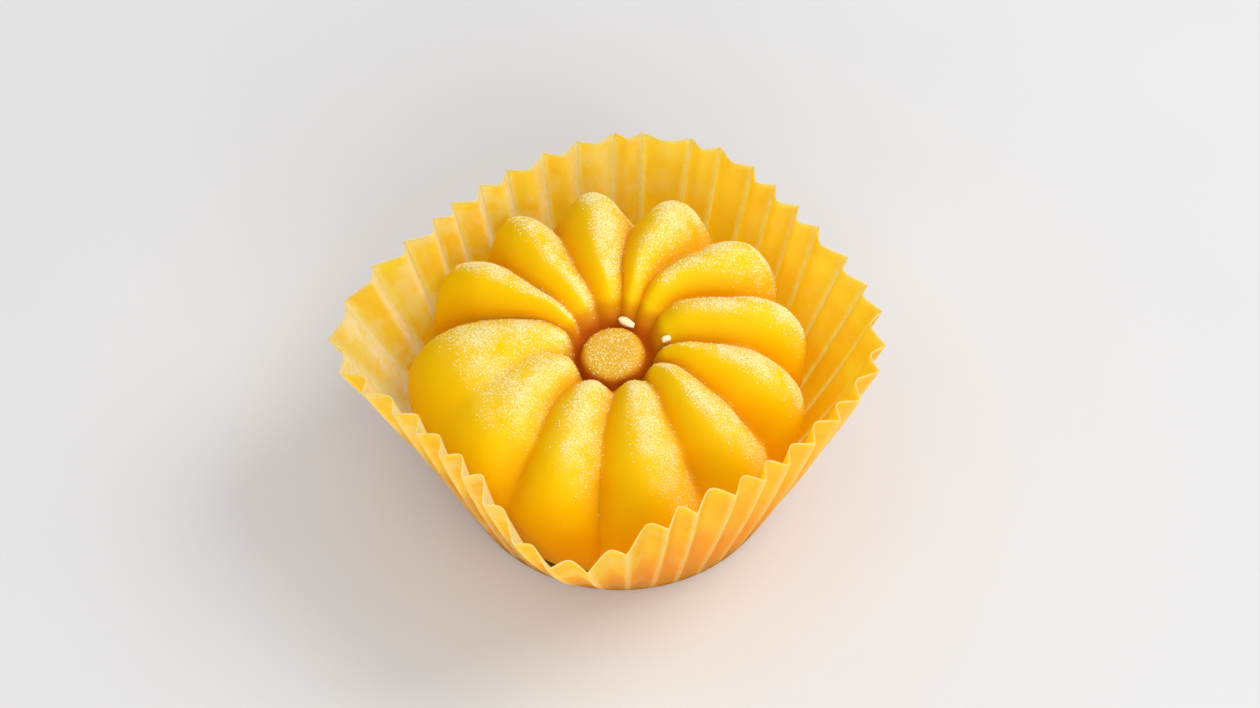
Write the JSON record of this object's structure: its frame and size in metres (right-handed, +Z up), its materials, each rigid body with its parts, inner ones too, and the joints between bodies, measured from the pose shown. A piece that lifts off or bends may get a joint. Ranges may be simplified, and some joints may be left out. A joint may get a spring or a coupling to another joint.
{
  "type": "mango mochi in a paper case",
  "caption": "Moulded mango mochi: a round sweet of soft lobes round a centre button, standing in a flared, fluted paper case.",
  "frame": {"origin": "middle of the flat underside of the paper case's base, where it stands", "axes": "+Z up out of the table; +Y towards the back of the sweet as pictured, +X to the picture's right"},
  "size_m": [0.0676, 0.0669, 0.027],
  "materials": {
    "rice_dough": "soft golden-yellow rice dough, matte and slightly see-through at depth, with pale starch grains on its crests",
    "waxed_paper": "thin yellow-orange greaseproof paper that light shines through, paler along its folds"
  },
  "bodies": {
    "root": {"mochi": "rice_dough", "paper_case": "waxed_paper"}
  },
  "joints": []
}
